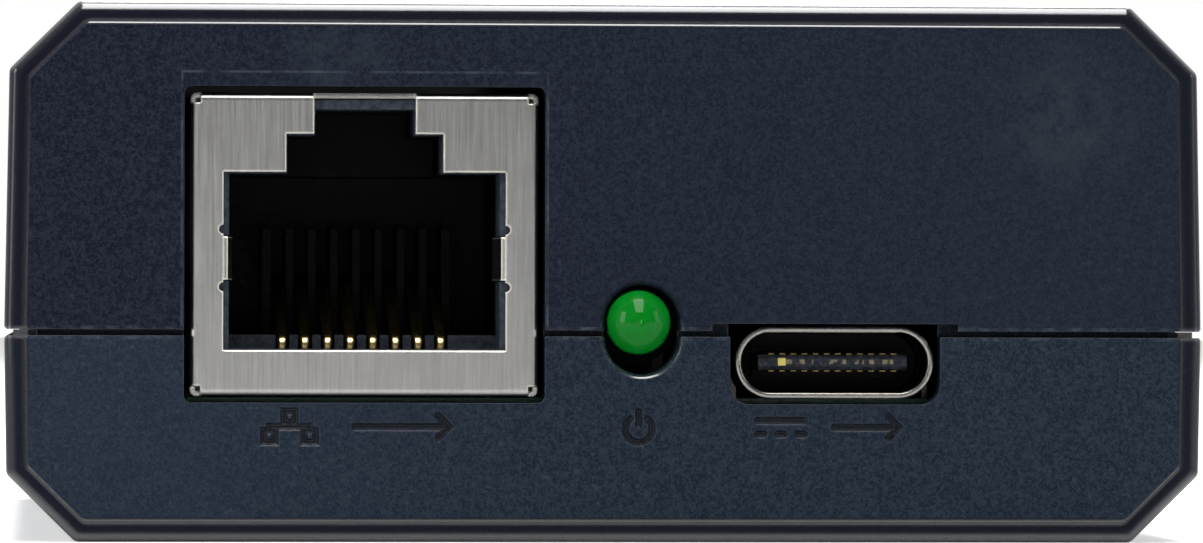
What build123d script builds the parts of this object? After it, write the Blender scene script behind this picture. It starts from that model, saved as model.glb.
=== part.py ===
from build123d import *
from math import radians, tan
import os

os.makedirs("parts", exist_ok=True)

# A small power splitter for network cables: a two part moulded case with a
# network socket, a status lamp and a power outlet on the front end, and the
# powered network inlet on the rear end.
# X runs to the right seen from the front, Y runs from front to rear, Z is up.
# The origin is the middle of the underside of the case.

# Sizes of the moulded case
case_width = 53.5
case_length = 84.0
case_height = 24.0
seam_height = 9.3
seam_gap = 0.28
seam_edge = 0.12
side_draft = 1.0
corner_cut = 3.0
corner_round = 0.4
case_wall = 2.0
rim_width = 0.9
rim_round = 0.5
panel_step = 0.25
panel_edge = 0.12
lip_thickness = 0.9
lip_height = 1.3
lip_clearance = 0.1

# Screw bosses and the screws in them
boss_side_inset = 5.45
boss_end_inset = 6.0
boss_radius = 2.4
shoulder_radius = 3.6
rib_thickness = 1.2
screw_head_diameter = 3.8
screw_head_height = 1.4
screw_core_diameter = 1.8
screw_length = 13.5
screw_tip = 1.2
screw_recess = 1.6
screw_tip_angle = 35.0
screw_head_round = 0.4
screw_socket_length = 2.2
screw_socket_width = 0.5
screw_socket_depth = 0.7
head_clearance = 0.2
shank_clearance = 0.3
pilot_clearance = 0.05
pilot_spare = 1.5

# Circuit board
hold_inset = 2.4
post_radius = 1.4
board_thickness = 1.6
board_lift = 2.8
board_gap = 0.45
notch_clearance = 0.3
hold_clearance = 0.1
hole_clearance = 0.15

# Network sockets, measured from the middle of their front face on the board
jack_x = -10.77
jack_recess = 0.3
sheet = 0.25
shield_width = 15.49
shield_height = 13.5
shield_length = 21.3
shield_lift = 0.07
shield_fold = 0.3
corner_relief = 0.45
port_clearance = 0.28
port_round = 0.35
opening_width = 12.56
opening_low = 2.12
opening_high = 10.05
latch_width = 7.0
latch_high = 11.75
key_width = 4.52
key_depth = 0.45
spring_low = 5.25
spring_height = 1.92
spring_length = 4.2
spring_thickness = 0.2
spring_bulge = 0.25
spring_relief = 0.2
spring_relief_gap = 0.32
tab_width = 1.6
tab_place = 11.0
tab_reach = 0.8
shield_floor = 2.4

# Moulded insert of a network socket
insert_fit = 0.05
cavity_side = 0.255
cavity_step = 0.05
cavity_depth = 12.8
latch_depth = 9.0
latch_roof = 0.43
sill_place = 3.0
sill_height = 0.63
comb_place = 9.6
comb_width = 8.66
comb_height = 5.5
foot_radius = 0.8
foot_side_inset = 1.4
foot_places = (4.6, 19.2)
peg_diameter = 3.25
peg_spacing = 11.43
peg_place = 8.9
peg_reach = 0.8

# Spring contacts of a network socket
contact_count = 8
contact_pitch = 1.016
contact_width = 0.46
contact_thickness = 0.3
contact_bend = 0.4
contact_run = 0.95
contact_front = 3.55
contact_nose = 2.6
contact_end = 5.45
contact_tail = 1.2
contact_slot = 0.62
pin_row_near = 14.0
pin_row_step = 2.54
pin_reach = 0.9
pin_bore = 0.9

# Power outlet socket
outlet_x = 10.23
outlet_recess = 0.4
outlet_width = 8.94
outlet_height = 3.26
outlet_sheet = 0.3
outlet_length = 7.35
outlet_gap = 0.24
outlet_hole_round = 0.9
outlet_relief_side = 0.8
outlet_relief_top = 0.1
tongue_width = 6.69
tongue_thickness = 0.7
tongue_place = 0.9
tongue_base = 4.6
tongue_step = 0.3
tongue_step_run = 0.7
leg_width = 0.9
leg_reach = 0.6
outlet_leg_places = (2.9, 6.2)
outlet_contact_count = 12
outlet_contact_pitch = 0.5
outlet_contact_width = 0.25
outlet_contact_length = 2.9
outlet_contact_skin = 0.06

# Status lamp
lamp_x = 1.45
lamp_height = 9.81
lamp_diameter = 2.9
lamp_length = 5.3
lamp_flange_diameter = 3.8
lamp_flange = 1.0
lamp_proud = 0.9
lamp_lead = 0.5
lamp_lead_pitch = 2.54
lamp_lead_run = 1.6
lamp_lead_bend = 0.5
lamp_hole_x = 1.58
lamp_hole_radius = 1.66
lamp_hole_low = 9.15
lamp_hole_edge = 0.3

# Places on the board, from its middle
transformer_place = (jack_x, 0.0)
flyback_place = (12.5, 0.0)
input_capacitor_place = (4.4, 25.5)
output_capacitor_places = ((2.8, -24.0), (11.6, -24.0))
isolation_place = (5.2, -14.5)
bridge_places = ((3.2, 35.0), (11.0, 35.0))
pd_place = (13.8, 27.0)
mosfet_place = (17.0, 16.5)
rectifier_place = (17.0, -13.6)
choke_place = (20.0, -25.0)
optocoupler_place = (1.0, 14.0)
outlet_chip_place = (6.0, -30.7)

# Sizes of the components on the board
transformer_size = (16.0, 12.0, 6.0)
transformer_lead_count = 12
transformer_lead_pitch = 1.27
transformer_lead_width = 0.5
transformer_lead_thickness = 0.25
transformer_lead_out = 1.6
transformer_standoff = 0.2
core_length = 14.4
core_width = 16.0
core_depth = 5.0
core_leg = 4.0
core_back = 2.1
core_side = 2.0
bobbin_height = 11.6
bobbin_wall = 0.6
bobbin_flange = 1.0
bobbin_fit = 0.1
bobbin_foot = 2.4
bobbin_rail = 2.6
winding_size = 10.6
winding_round = 2.0
flyback_pin = 0.7
flyback_pin_pitch = 3.0
flyback_pin_reach = 2.6
flyback_pin_hold = 1.6
flyback_pin_side = 6.2
capacitor_diameter = 8.0
capacitor_height = 11.5
capacitor_groove = 0.35
capacitor_groove_place = 1.6
capacitor_lead = 0.6
capacitor_lead_pitch = 3.5
disc_diameter = 8.0
disc_thickness = 3.6
disc_lead_pitch = 5.0
disc_lift = 0.8
disc_lead_gap = 0.1
bridge_size = (4.7, 3.9, 2.4)
chip_standoff = 0.1
chip_lead_width = 0.6
chip_lead_thickness = 0.2
chip_lead_out = 1.1
lead_shoulder = 0.3
lead_foot = 0.5
bridge_lead_pitch = 2.54
small_lead_pitch = 1.27
pd_size = (5.0, 5.0, 0.9)
mosfet_size = (4.9, 3.9, 1.6)
rectifier_size = (6.6, 6.1, 2.3)
choke_size = (7.0, 7.0, 4.2)
choke_round = 1.4
choke_ring = 0.5
optocoupler_size = (4.6, 6.4, 3.4)
outlet_chip_size = (4.0, 4.0, 0.8)
small_capacitor_size = (2.0, 1.25, 1.1)
small_resistor_size = (1.6, 0.8, 0.45)
chip_edge = 0.25
passive_count = 4
passive_pitch = 3.4
capacitor_row = 13.5
resistor_row = 16.0

# Places that follow from the sizes above
half_length = case_length / 2
board_low = case_wall + board_lift
board_top = board_low + board_thickness
seam_top = seam_height + seam_gap / 2
seam_low = seam_height - seam_gap / 2
shield_top = shield_lift + shield_height
insert_low = shield_lift + sheet + insert_fit
insert_top = shield_top - sheet - insert_fit
insert_front = sheet + insert_fit
insert_back = shield_length - sheet - insert_fit
insert_width = shield_width - 2 * (sheet + insert_fit)
cavity_width = opening_width - 2 * cavity_side
cavity_low = opening_low + cavity_step
cavity_high = opening_high - cavity_step
sill_top = cavity_low + sill_height
slot_floor = contact_run - contact_thickness / 2 - insert_fit
pin_row_far = pin_row_near + pin_row_step
boss_x = case_width / 2 - boss_side_inset
boss_y = half_length - boss_end_inset
boss_points = [(x, y) for x in (-boss_x, boss_x) for y in (-boss_y, boss_y)]
outlet_middle = board_top + outlet_height / 2
contact_places = [(n - (contact_count - 1) / 2) * contact_pitch for n in range(contact_count)]
passive_x = [jack_x + (n - (passive_count - 1) / 2) * passive_pitch for n in range(passive_count)]
capacitor_spots = [(x, y) for x in passive_x for y in (-capacitor_row, capacitor_row)]
resistor_spots = [(x, y) for x in passive_x for y in (-resistor_row, resistor_row)]


def half_width_at(z):
    """Half the width of the case at a height, from the draft of its sides."""
    return case_width / 2 - abs(z - seam_height) * tan(radians(side_draft))


board_half_width = half_width_at(board_low) - case_wall - board_gap
board_half_length = half_length - case_wall - board_gap


# A port frame sits on the board at the middle of a socket's front face.
# Its X runs across, its Y runs into the case and its Z is up.
data_port = Plane(
    origin=(jack_x, jack_recess - half_length, board_top), x_dir=(1, 0, 0), z_dir=(0, 0, 1)
)
poe_port = Plane(
    origin=(jack_x, half_length - jack_recess, board_top), x_dir=(-1, 0, 0), z_dir=(0, 0, 1)
)
outlet_port = Plane(
    origin=(outlet_x, outlet_recess - half_length, outlet_middle), x_dir=(1, 0, 0), z_dir=(0, 0, 1)
)


def across(port, depth):
    """Plane across a port at a depth, seen from outside the case."""
    place = port.from_local_coords(Vector(0, depth, 0))
    return Plane(origin=place, x_dir=port.x_dir, z_dir=-port.y_dir)


def beside(port, side):
    """Upright plane along a port at a distance to its side."""
    place = port.from_local_coords(Vector(side, 0, 0))
    return Plane(origin=place, x_dir=port.y_dir, z_dir=port.x_dir)


def level(port, height):
    """Level plane of a port at a height."""
    place = port.from_local_coords(Vector(0, 0, height))
    return Plane(origin=place, x_dir=port.x_dir, z_dir=port.z_dir)


def board_points(port, points):
    """Places given in a port frame, as places on the board."""
    found = [port.from_local_coords(Vector(x, y, 0)) for x, y in points]
    return [(spot.X, spot.Y) for spot in found]


def span(low, high):
    """Middle and size of a stretch."""
    return (low + high) / 2, high - low


def end_plane(y):
    """Upright plane across the case, seen from the front."""
    return Plane(origin=(0, y, 0), x_dir=(1, 0, 0), z_dir=(0, -1, 0))


def case_outline(plane, inset, low, high):
    """Draw the section of the case, moved in from its surface, between two heights."""
    top = half_width_at(case_height)
    foot = half_width_at(0)
    corners = [
        (foot - corner_cut, 0),
        (half_width_at(corner_cut), corner_cut),
        (case_width / 2, seam_height),
        (half_width_at(case_height - corner_cut), case_height - corner_cut),
        (top - corner_cut, case_height),
    ]
    mirrored = [(-x, z) for x, z in reversed(corners)]
    with BuildSketch(plane) as outline:
        with BuildLine():
            Polyline(*corners, *mirrored, close=True)
        make_face()
        if inset > 0:
            offset(amount=-inset, kind=Kind.INTERSECTION)
        rounded = [v for v in outline.vertices() if abs(v.Y - seam_height) > seam_gap]
        fillet(rounded, radius=corner_round)
        middle, height = span(low, high)
        with Locations((0, middle)):
            Rectangle(2 * case_width, height, mode=Mode.INTERSECT)
    return outline.sketch


def round_ends(builder, seam_side, radius):
    """Round the edges of both end faces, apart from those along the seam."""
    for end in (builder.faces().sort_by(Axis.Y)[0], builder.faces().sort_by(Axis.Y)[-1]):
        edges = end.edges().filter_by(lambda e: abs(e.center().Z - seam_side) > seam_gap / 4)
        fillet(edges, radius=radius)


def shell_form(builder, low, high, seam_side):
    """Shape one half of the case: outer form, raised end panels and cavity."""
    body = case_outline(end_plane(panel_step - half_length), 0, low, high)
    extrude(body, amount=2 * panel_step - case_length)
    sides = builder.edges().filter_by(Axis.Y)
    along_seam = sides.filter_by_position(Axis.Z, seam_side - seam_edge, seam_side + seam_edge)
    chamfer(along_seam, length=seam_edge)
    round_ends(builder, seam_side, rim_round)
    panel = case_outline(end_plane(-half_length), rim_width, low, high)
    extrude(panel, amount=-case_length)
    round_ends(builder, seam_side, panel_edge)
    cavity = case_outline(
        end_plane(case_wall - half_length), case_wall, low - seam_gap, high + seam_gap
    )
    extrude(cavity, amount=2 * case_wall - case_length, mode=Mode.SUBTRACT)


def cut_jack_port(port):
    """Cut the opening that a network socket sits in."""
    with BuildSketch(across(port, -jack_recess - rim_round)) as mouth:
        with Locations((0, shield_lift + shield_height / 2)):
            RectangleRounded(
                shield_width + 2 * port_clearance, shield_height + 2 * port_clearance, port_round
            )
    extrude(mouth.sketch, amount=-(case_wall + 2 * rim_round), mode=Mode.SUBTRACT)


def cut_lamp_hole():
    """Cut the upright slot that the lamp looks through."""
    middle, rise = span(lamp_hole_low, lamp_height)
    with BuildSketch(end_plane(-half_length - rim_round)) as slot:
        with Locations((lamp_hole_x, middle)):
            SlotCenterToCenter(rise, 2 * lamp_hole_radius, rotation=90)
    extrude(slot.sketch, amount=-(case_wall + 2 * rim_round), mode=Mode.SUBTRACT)


def lamp_mouth(builder):
    """Front edges of the lamp's slot."""
    on_face = builder.edges().filter_by(lambda e: abs(e.center().Y + half_length) < panel_edge)
    return on_face.filter_by(
        lambda e: abs(e.center().X - lamp_hole_x) < lamp_hole_radius + rim_round
        and abs(e.center().Z - lamp_height) < 2 * lamp_hole_radius
        and e.geom_type == GeomType.CIRCLE
    )


def pin_row(number):
    """Distance of a contact's board pin from the socket face; the rows take turns."""
    return pin_row_near if number % 2 == 0 else pin_row_far


outlet_legs = [(side * (outlet_width - outlet_sheet) / 2, y) for side in (-1, 1) for y in outlet_leg_places]
cavity_back = insert_front + cavity_depth
foot_sides = (foot_side_inset - insert_width / 2, insert_width / 2 - foot_side_inset)
spring_relief_places = (spring_low - spring_relief_gap, spring_low + spring_height + spring_relief_gap)
lamp_base_y = -half_length - lamp_proud + lamp_length
lamp_lead_y = lamp_base_y + lamp_lead_run
lamp_lead_points = [(lamp_x + side * lamp_lead_pitch / 2, lamp_lead_y) for side in (-1, 1)]
flyback_pin_points = [
    (flyback_place[0] + side * flyback_pin_side, flyback_place[1] + (n - 1.5) * flyback_pin_pitch)
    for side in (-1, 1)
    for n in range(4)
]
standing_capacitors = [input_capacitor_place, *output_capacitor_places]
capacitor_lead_points = [
    (x + side * capacitor_lead_pitch / 2, y) for x, y in standing_capacitors for side in (-1, 1)
] + [(isolation_place[0] + side * disc_lead_pitch / 2, isolation_place[1]) for side in (-1, 1)]

inner_half_width = case_width / 2 - case_wall
inner_half_length = half_length - case_wall
hold_x = board_half_width - hold_inset

# Bosses and posts that stand on the floor of the lower half
with BuildPart() as floor_posts:
    with BuildSketch():
        with Locations(*boss_points):
            Circle(shoulder_radius)
        with Locations((-hold_x, 0), (hold_x, 0)):
            Circle(post_radius)
    extrude(amount=board_low)
    with BuildSketch():
        with Locations(*boss_points):
            Circle(boss_radius)
    extrude(amount=seam_height)
    inside = case_outline(end_plane(-half_length), case_wall / 2, 0, case_height)
    extrude(inside, amount=-case_length, mode=Mode.INTERSECT)

# Lower half of the case
with BuildPart() as bottom_case:
    shell_form(bottom_case, 0, seam_low, seam_low)
    with BuildSketch(Plane.XY.offset(seam_low - lip_thickness)):
        Rectangle(2 * (inner_half_width + lip_thickness), 2 * (inner_half_length + lip_thickness))
        Rectangle(2 * inner_half_width, 2 * inner_half_length, mode=Mode.SUBTRACT)
    extrude(amount=seam_height + lip_height - seam_low + lip_thickness)
    add(floor_posts.part)
    with Locations(*[Plane(origin=(x, y, 0), z_dir=(0, 0, -1)) for x, y in boss_points]):
        CounterBoreHole(
            radius=screw_core_diameter / 2 + shank_clearance,
            counter_bore_radius=screw_head_diameter / 2 + head_clearance,
            counter_bore_depth=screw_recess,
            depth=case_height / 2,
        )
    cut_jack_port(data_port)
    cut_jack_port(poe_port)
    with BuildSketch(across(outlet_port, -outlet_recess - rim_round)):
        RectangleRounded(
            outlet_width + 2 * outlet_gap, outlet_height + 2 * outlet_gap, outlet_hole_round
        )
        with Locations((0, lip_height)):
            Rectangle(outlet_width + 2 * outlet_gap, 2 * lip_height + outlet_gap)
    extrude(amount=-(case_wall + 2 * rim_round), mode=Mode.SUBTRACT)
    cut_lamp_hole()
    fillet(lamp_mouth(bottom_case), radius=lamp_hole_edge)
bottom_case.part.label = "bottom_case"
export_step(bottom_case.part, "parts/bottom_case.step")

# Bosses with their ribs, and the ribs that hold the board down, under the roof
rebate_top = seam_height + lip_height + lip_clearance
with BuildPart() as roof_posts:
    with BuildSketch(Plane.XY.offset(seam_height)):
        with Locations(*boss_points):
            Circle(boss_radius)
    extrude(amount=case_height - seam_height)
    with BuildSketch(Plane.XY.offset(rebate_top + lip_clearance)):
        for x, y in boss_points:
            with Locations((x + (inner_half_width - boss_x) / 2 * (1 if x > 0 else -1), y)):
                Rectangle(inner_half_width - boss_x + lip_clearance, rib_thickness)
            with Locations((x, y + (inner_half_length - boss_y) / 2 * (1 if y > 0 else -1))):
                Rectangle(rib_thickness, inner_half_length - boss_y + lip_clearance)
    extrude(amount=case_height - rebate_top - lip_clearance)
    with BuildSketch(Plane.XY.offset(board_top + hold_clearance)):
        with Locations((-hold_x, 0), (hold_x, 0)):
            Rectangle(2 * post_radius, rib_thickness)
    extrude(amount=case_height - board_top - hold_clearance)
    inside = case_outline(end_plane(-half_length), case_wall / 2, 0, case_height)
    extrude(inside, amount=-case_length, mode=Mode.INTERSECT)

# Upper half of the case
with BuildPart() as top_cover:
    shell_form(top_cover, seam_top, case_height, seam_top)
    with BuildSketch(Plane.XY.offset(seam_low)):
        rebate = lip_thickness + lip_clearance
        Rectangle(2 * (inner_half_width + rebate), 2 * (inner_half_length + rebate))
    extrude(amount=rebate_top - seam_low, mode=Mode.SUBTRACT)
    add(roof_posts.part)
    pilot_depth = screw_recess + screw_length - seam_height + pilot_spare
    with Locations(*[Plane(origin=(x, y, seam_height), z_dir=(0, 0, -1)) for x, y in boss_points]):
        Hole(radius=screw_core_diameter / 2 + pilot_clearance, depth=pilot_depth)
    cut_jack_port(data_port)
    cut_jack_port(poe_port)
    relief_height = 2 * (outlet_middle + outlet_height / 2 + outlet_relief_top - seam_height)
    with BuildSketch(end_plane(-half_length - rim_round)):
        with Locations((outlet_x, seam_height)):
            Rectangle(outlet_width + 2 * (outlet_gap + outlet_relief_side), relief_height)
    extrude(amount=-(case_wall + 2 * rim_round), mode=Mode.SUBTRACT)
    cut_lamp_hole()
    fillet(lamp_mouth(top_cover), radius=lamp_hole_edge)
top_cover.part.label = "top_cover"
export_step(top_cover.part, "parts/top_cover.step")


# Circuit board with corner notches for the bosses and holes for every pin
with BuildPart() as main_board:
    with BuildSketch(Plane.XY.offset(board_low)):
        Rectangle(2 * board_half_width, 2 * board_half_length)
        with Locations(*boss_points):
            Circle(boss_radius + notch_clearance, mode=Mode.SUBTRACT)
        for x, y in boss_points:
            side = 1 if x > 0 else -1
            end = 1 if y > 0 else -1
            with Locations((x + side * boss_side_inset / 2, y)):
                Rectangle(boss_side_inset, 2 * (boss_radius + notch_clearance), mode=Mode.SUBTRACT)
            with Locations((x, y + end * boss_end_inset / 2)):
                Rectangle(2 * (boss_radius + notch_clearance), boss_end_inset, mode=Mode.SUBTRACT)
            with Locations((x + side * boss_side_inset / 2, y + end * boss_end_inset / 2)):
                Rectangle(boss_side_inset, boss_end_inset, mode=Mode.SUBTRACT)
        for port in (data_port, poe_port):
            pegs = [(-peg_spacing / 2, peg_place), (peg_spacing / 2, peg_place)]
            with Locations(*board_points(port, pegs)):
                Circle(peg_diameter / 2 + hole_clearance, mode=Mode.SUBTRACT)
            pins = [(x, pin_row(n)) for n, x in enumerate(contact_places)]
            with Locations(*board_points(port, pins)):
                Circle(pin_bore / 2, mode=Mode.SUBTRACT)
            tabs = [(side * (shield_width - sheet) / 2, tab_place) for side in (-1, 1)]
            with Locations(*board_points(port, tabs)):
                Rectangle(
                    sheet + 2 * hole_clearance, tab_width + 2 * hole_clearance, mode=Mode.SUBTRACT
                )
        with Locations(*board_points(outlet_port, outlet_legs)):
            Rectangle(
                outlet_sheet + 2 * hole_clearance, leg_width + 2 * hole_clearance, mode=Mode.SUBTRACT
            )
        with Locations(*lamp_lead_points, *flyback_pin_points):
            Circle(pin_bore / 2, mode=Mode.SUBTRACT)
        with Locations(*capacitor_lead_points):
            Circle(pin_bore / 2, mode=Mode.SUBTRACT)
    extrude(amount=board_thickness)
main_board.part.label = "main_board"
export_step(main_board.part, "parts/main_board.step")


def build_shield(port):
    """Folded metal shield round a network socket, open below behind its front edge."""
    with BuildPart() as shield:
        with BuildSketch(across(port, 0)):
            with Locations((0, shield_lift + shield_height / 2)):
                Rectangle(shield_width, shield_height)
        extrude(amount=-shield_length)
        fillet(shield.edges(), radius=shield_fold)
        with BuildSketch(across(port, sheet)):
            with Locations((0, shield_lift + shield_height / 2)):
                Rectangle(shield_width - 2 * sheet, shield_height - 2 * sheet)
        extrude(amount=2 * sheet - shield_length, mode=Mode.SUBTRACT)
        with BuildSketch(level(port, shield_lift + sheet)):
            middle, run = span(shield_floor, shield_length - sheet)
            with Locations((0, middle)):
                Rectangle(shield_width - 2 * sheet, run)
        extrude(amount=-2 * sheet, mode=Mode.SUBTRACT)
        with BuildSketch(across(port, 0)) as opening:
            middle, rise = span(opening_low, opening_high)
            with Locations((0, middle)):
                Rectangle(opening_width, rise)
            middle, rise = span(opening_high, latch_high)
            with Locations((0, middle)):
                Rectangle(latch_width, rise)
            for side in (-1, 1):
                for z in spring_relief_places:
                    with Locations((side * opening_width / 2, z)):
                        Circle(spring_relief)
        extrude(amount=-2 * sheet, mode=Mode.SUBTRACT)
        with BuildSketch(across(port, -sheet)):
            middle, rise = span(latch_high, shield_top + sheet)
            with Locations((0, middle)):
                Rectangle(key_width, rise)
        extrude(amount=-sheet - key_depth, mode=Mode.SUBTRACT)
        with BuildSketch(across(port, -sheet)):
            with GridLocations(shield_width, shield_height, 2, 2):
                with Locations((0, shield_lift + shield_height / 2)):
                    Rectangle(2 * corner_relief, 2 * corner_relief)
        extrude(amount=-sheet - corner_relief, mode=Mode.SUBTRACT)
        for side in (-1, 1):
            with BuildSketch(level(port, spring_low)):
                edge = opening_width / 2 - spring_thickness / 2
                with BuildLine():
                    Polyline(
                        (side * (edge + sheet), sheet / 2),
                        (side * edge, sheet / 2),
                        (side * edge, 2 * sheet),
                        (side * (edge - spring_bulge), spring_length * 2 / 3),
                        (side * edge, spring_length),
                    )
                trace(line_width=spring_thickness)
            extrude(amount=spring_height)
        with BuildSketch(level(port, -board_thickness - tab_reach)):
            with Locations(*[(side * (shield_width - sheet) / 2, tab_place) for side in (-1, 1)]):
                Rectangle(sheet, tab_width)
        extrude(amount=board_thickness + tab_reach + shield_lift + 2 * shield_fold)
    return shield.part


def build_insert(port):
    """Moulded insert of a network socket, with its cavity and contact comb."""
    low = insert_low
    with BuildPart() as insert:
        with BuildSketch(across(port, insert_front)):
            middle, rise = span(insert_low, insert_top)
            with Locations((0, middle)):
                Rectangle(insert_width, rise)
        extrude(amount=insert_front - insert_back)
        with BuildSketch(level(port, 0)):
            with Locations(*[(x, y) for x in foot_sides for y in foot_places]):
                Circle(foot_radius)
        extrude(amount=low + sheet)
        with BuildSketch(level(port, -board_thickness - peg_reach)):
            with Locations((-peg_spacing / 2, peg_place), (peg_spacing / 2, peg_place)):
                Circle(peg_diameter / 2)
        extrude(amount=board_thickness + peg_reach + low + sheet)
        with BuildSketch(across(port, insert_front)):
            middle, rise = span(cavity_low, cavity_high)
            with Locations((0, middle)):
                Rectangle(cavity_width, rise)
        extrude(amount=-cavity_depth, mode=Mode.SUBTRACT)
        with BuildSketch(across(port, insert_front)):
            middle, rise = span(cavity_high - cavity_step, latch_high - cavity_step)
            with Locations((0, middle)):
                Rectangle(latch_width - 2 * cavity_step, rise)
            middle, rise = span(cavity_high, insert_top - latch_roof)
            with Locations((0, middle)):
                Rectangle(key_width - 2 * cavity_step, rise)
        extrude(amount=-latch_depth, mode=Mode.SUBTRACT)
        with BuildSketch(across(port, sill_place)):
            middle, rise = span(cavity_low - sheet, sill_top)
            with Locations((0, middle)):
                Rectangle(cavity_width + sheet, rise)
        extrude(amount=sill_place - cavity_back - sheet)
        with BuildSketch(across(port, comb_place)):
            middle, rise = span(cavity_low - sheet, cavity_low + comb_height)
            with Locations((0, middle)):
                Rectangle(comb_width, rise)
        extrude(amount=comb_place - cavity_back - sheet)
        for side in (-1, 1):
            with BuildSketch(across(port, insert_front)):
                middle, rise = span(spring_low - insert_fit, spring_low + spring_height + insert_fit)
                reach = sheet + spring_bulge + insert_fit
                with Locations((side * (cavity_width + reach) / 2, middle)):
                    Rectangle(reach, rise)
            extrude(amount=-spring_length, mode=Mode.SUBTRACT)
        for number, x in enumerate(contact_places):
            row = pin_row(number)
            with BuildSketch(beside(port, x)):
                middle, run = span(sill_place, cavity_back)
                height, rise = span(slot_floor, sill_top + insert_fit)
                with Locations((middle, height)):
                    Rectangle(run, rise)
                middle, run = span(comb_place, cavity_back)
                height, rise = span(slot_floor, cavity_low + comb_height + insert_fit)
                with Locations((middle, height)):
                    Rectangle(run, rise)
                middle, run = span(comb_place, row + contact_thickness / 2 + insert_fit)
                with Locations((middle, contact_run)):
                    Rectangle(run, contact_thickness + 2 * insert_fit)
                height, rise = span(insert_low - insert_fit, contact_run)
                with Locations((row, height)):
                    Rectangle(contact_thickness + 2 * insert_fit, rise)
            extrude(amount=contact_slot / 2, both=True, mode=Mode.SUBTRACT)
    return insert.part


def build_contact(port, x, row):
    """Spring contact: board pin, run under the sill, bent nose and rising spring."""
    with BuildPart() as contact:
        with BuildSketch(beside(port, x)):
            with BuildLine():
                FilletPolyline(
                    (row, -board_thickness - pin_reach),
                    (row, contact_run),
                    (contact_front, contact_run),
                    (contact_front, contact_nose),
                    (comb_place + contact_tail, contact_end),
                    radius=contact_bend,
                )
            trace(line_width=contact_thickness)
        extrude(amount=contact_width / 2, both=True)
    return contact.part


# The data socket on the front end and the powered inlet on the rear end
for name, port in (("data_jack", data_port), ("poe_jack", poe_port)):
    shield = build_shield(port)
    shield.label = name + "_shield"
    export_step(shield, f"parts/{name}_shield.step")
    insert = build_insert(port)
    insert.label = name + "_insert"
    export_step(insert, f"parts/{name}_insert.step")
    for number, x in enumerate(contact_places):
        contact = build_contact(port, x, pin_row(number))
        contact.label = f"{name}_contact_{number + 1}"
        export_step(contact, f"parts/{name}_contact_{number + 1}.step")

# Metal shell of the power outlet, with four legs in the board
with BuildPart() as outlet_shell:
    with BuildSketch(across(outlet_port, 0)):
        SlotOverall(outlet_width, outlet_height)
        SlotOverall(outlet_width - 2 * outlet_sheet, outlet_height - 2 * outlet_sheet, mode=Mode.SUBTRACT)
    extrude(amount=-outlet_length)
    with BuildSketch(level(outlet_port, -outlet_height / 2 - board_thickness - leg_reach)):
        with Locations(*outlet_legs):
            Rectangle(outlet_sheet, leg_width)
    extrude(amount=outlet_height / 2 + board_thickness + leg_reach)
outlet_shell.part.label = "outlet_shell"
export_step(outlet_shell.part, "parts/outlet_shell.step")

# Moulded tongue of the power outlet and the block that fills its rear
with BuildPart() as outlet_tongue:
    with BuildSketch(across(outlet_port, tongue_base)):
        bore = 2 * (outlet_sheet + insert_fit)
        SlotOverall(outlet_width - bore, outlet_height - bore)
    extrude(amount=tongue_base - outlet_length)
    with BuildSketch(across(outlet_port, tongue_place)):
        Rectangle(tongue_width, tongue_thickness)
    extrude(amount=tongue_place - outlet_length)
    with BuildSketch(across(outlet_port, tongue_base - tongue_step_run)):
        Rectangle(tongue_width, tongue_thickness + 2 * tongue_step)
    extrude(amount=tongue_base - tongue_step_run - outlet_length)
    nose = outlet_tongue.edges().filter_by(Axis.X).filter_by(
        lambda e: abs(e.center().Y - across(outlet_port, tongue_place).origin.Y) < panel_edge
    )
    chamfer(nose, length=tongue_thickness / 4)
outlet_tongue.part.label = "outlet_tongue"
export_step(outlet_tongue.part, "parts/outlet_tongue.step")

# Gold contact strips on both faces of the tongue
with BuildPart() as outlet_contacts:
    for side in (-1, 1):
        start = tongue_thickness / 2 if side > 0 else -tongue_thickness / 2 - outlet_contact_skin
        with BuildSketch(level(outlet_port, start)):
            middle = tongue_base - tongue_step_run - outlet_contact_length / 2
            with Locations((0, middle)):
                with GridLocations(outlet_contact_pitch, 0, outlet_contact_count, 1):
                    Rectangle(outlet_contact_width, outlet_contact_length)
        extrude(amount=outlet_contact_skin)
outlet_contacts.part.label = "outlet_contacts"
export_step(outlet_contacts.part, "parts/outlet_contacts.step")

# Lens of the status lamp, domed in front and flanged behind
lamp_front = Plane(
    origin=(lamp_x, -half_length - lamp_proud, lamp_height), x_dir=(0, 1, 0), z_dir=(1, 0, 0)
)
with BuildPart() as lamp_lens:
    with BuildSketch(lamp_front):
        with BuildLine():
            radius = lamp_diameter / 2
            dome = RadiusArc((0, 0), (radius, radius), radius)
            Polyline(
                (radius, radius),
                (lamp_length - lamp_flange, radius),
                (lamp_length - lamp_flange, lamp_flange_diameter / 2),
                (lamp_length, lamp_flange_diameter / 2),
                (lamp_length, 0),
                (0, 0),
            )
        make_face()
    revolve(axis=Axis(lamp_front.origin, (0, 1, 0)))
lamp_lens.part.label = "lamp_lens"
export_step(lamp_lens.part, "parts/lamp_lens.step")

# Two lamp leads, bent down into the board
for name, side in (("lamp_anode_lead", -1), ("lamp_cathode_lead", 1)):
    with BuildPart() as lamp_lead_bar:
        place = lamp_front.from_local_coords(Vector(0, 0, side * lamp_lead_pitch / 2))
        with BuildSketch(Plane(origin=place, x_dir=(0, 1, 0), z_dir=(1, 0, 0))):
            with BuildLine():
                FilletPolyline(
                    (lamp_length, 0),
                    (lamp_length + lamp_lead_run, 0),
                    (lamp_length + lamp_lead_run, board_low - pin_reach - lamp_height),
                    radius=lamp_lead_bend,
                )
            trace(line_width=lamp_lead)
        extrude(amount=lamp_lead / 2, both=True)
    lamp_lead_bar.part.label = name
    export_step(lamp_lead_bar.part, f"parts/{name}.step")

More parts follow.
